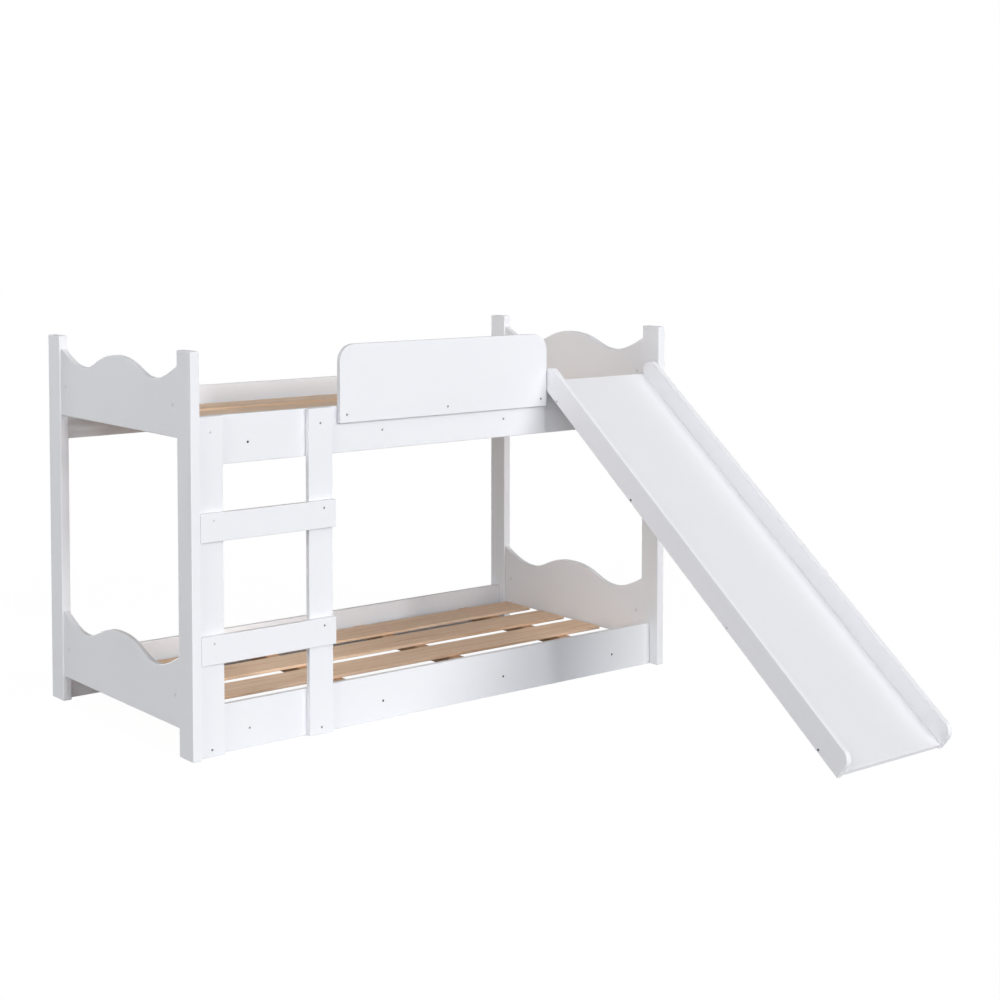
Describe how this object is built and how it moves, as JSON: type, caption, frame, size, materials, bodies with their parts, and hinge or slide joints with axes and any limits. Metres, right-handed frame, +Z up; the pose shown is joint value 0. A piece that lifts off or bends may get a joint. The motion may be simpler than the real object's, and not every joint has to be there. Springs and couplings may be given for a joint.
{
  "type": "bunk bed with slide",
  "caption": "Low bunk bed for children with slatted bases, wavy end panels, a screwed-on ladder, a guard board and a straight slide leaning on the upper bunk.",
  "frame": {"origin": "on the floor, under the middle of the whole piece's bounding box, slide included", "axes": "+Z up; +X along the bed, from the ladder's end to the slide's end; +Y from the slide's foot to the back of the bed"},
  "size_m": [1.866, 2.2029, 1.186],
  "materials": {
    "white_lacquer": "boards painted with satin white lacquer",
    "bare_wood": "planed and unfinished, warm brown",
    "dark_steel": "darkened socket screws"
  },
  "bodies": {
    "root": {"post_front_left": "white_lacquer", "post_front_right": "white_lacquer", "post_back_left": "white_lacquer", "post_back_right": "white_lacquer", "rail_lower_front": "white_lacquer", "rail_lower_back": "white_lacquer", "rail_upper_front": "white_lacquer", "rail_upper_back": "white_lacquer", "end_panel_lower_left": "white_lacquer", "end_panel_lower_right": "white_lacquer", "end_panel_upper_left": "white_lacquer", "end_panel_upper_right": "white_lacquer", "ladder_stile_left": "white_lacquer", "ladder_stile_right": "white_lacquer", "ladder_rung_lower": "white_lacquer", "ladder_rung_upper": "white_lacquer", "guard_board": "white_lacquer", "slide_side_left": "white_lacquer", "slide_side_right": "white_lacquer", "slide_chute": "white_lacquer", "slide_ledger": "white_lacquer", "batten_lower_1": "bare_wood", "batten_lower_2": "bare_wood", "batten_lower_3": "bare_wood", "batten_lower_4": "bare_wood", "slat_lower_1": "bare_wood", "slat_lower_2": "bare_wood", "slat_lower_3": "bare_wood", "slat_lower_4": "bare_wood", "batten_upper_1": "bare_wood", "batten_upper_2": "bare_wood", "batten_upper_3": "bare_wood", "batten_upper_4": "bare_wood", "slat_upper_1": "bare_wood", "slat_upper_2": "bare_wood", "slat_upper_3": "bare_wood", "slat_upper_4": "bare_wood", "rail_screw_lower_1": "dark_steel", "rail_screw_lower_2": "dark_steel", "rail_screw_lower_3": "dark_steel", "rail_screw_lower_4": "dark_steel", "rail_screw_upper_1": "dark_steel", "rail_screw_upper_2": "dark_steel", "rail_screw_upper_3": "dark_steel", "rail_screw_upper_4": "dark_steel", "stile_screw_left_lower": "dark_steel", "stile_screw_left_upper": "dark_steel", "stile_screw_right_lower": "dark_steel", "stile_screw_right_upper": "dark_steel", "rung_screw_lower_left": "dark_steel", "rung_screw_lower_right": "dark_steel", "rung_screw_upper_left": "dark_steel", "rung_screw_upper_right": "dark_steel", "guard_screw_1": "dark_steel", "guard_screw_2": "dark_steel", "guard_screw_3": "dark_steel", "slide_screw_1": "dark_steel", "slide_screw_2": "dark_steel", "slide_screw_3": "dark_steel", "slide_screw_4": "dark_steel"}
  },
  "joints": []
}
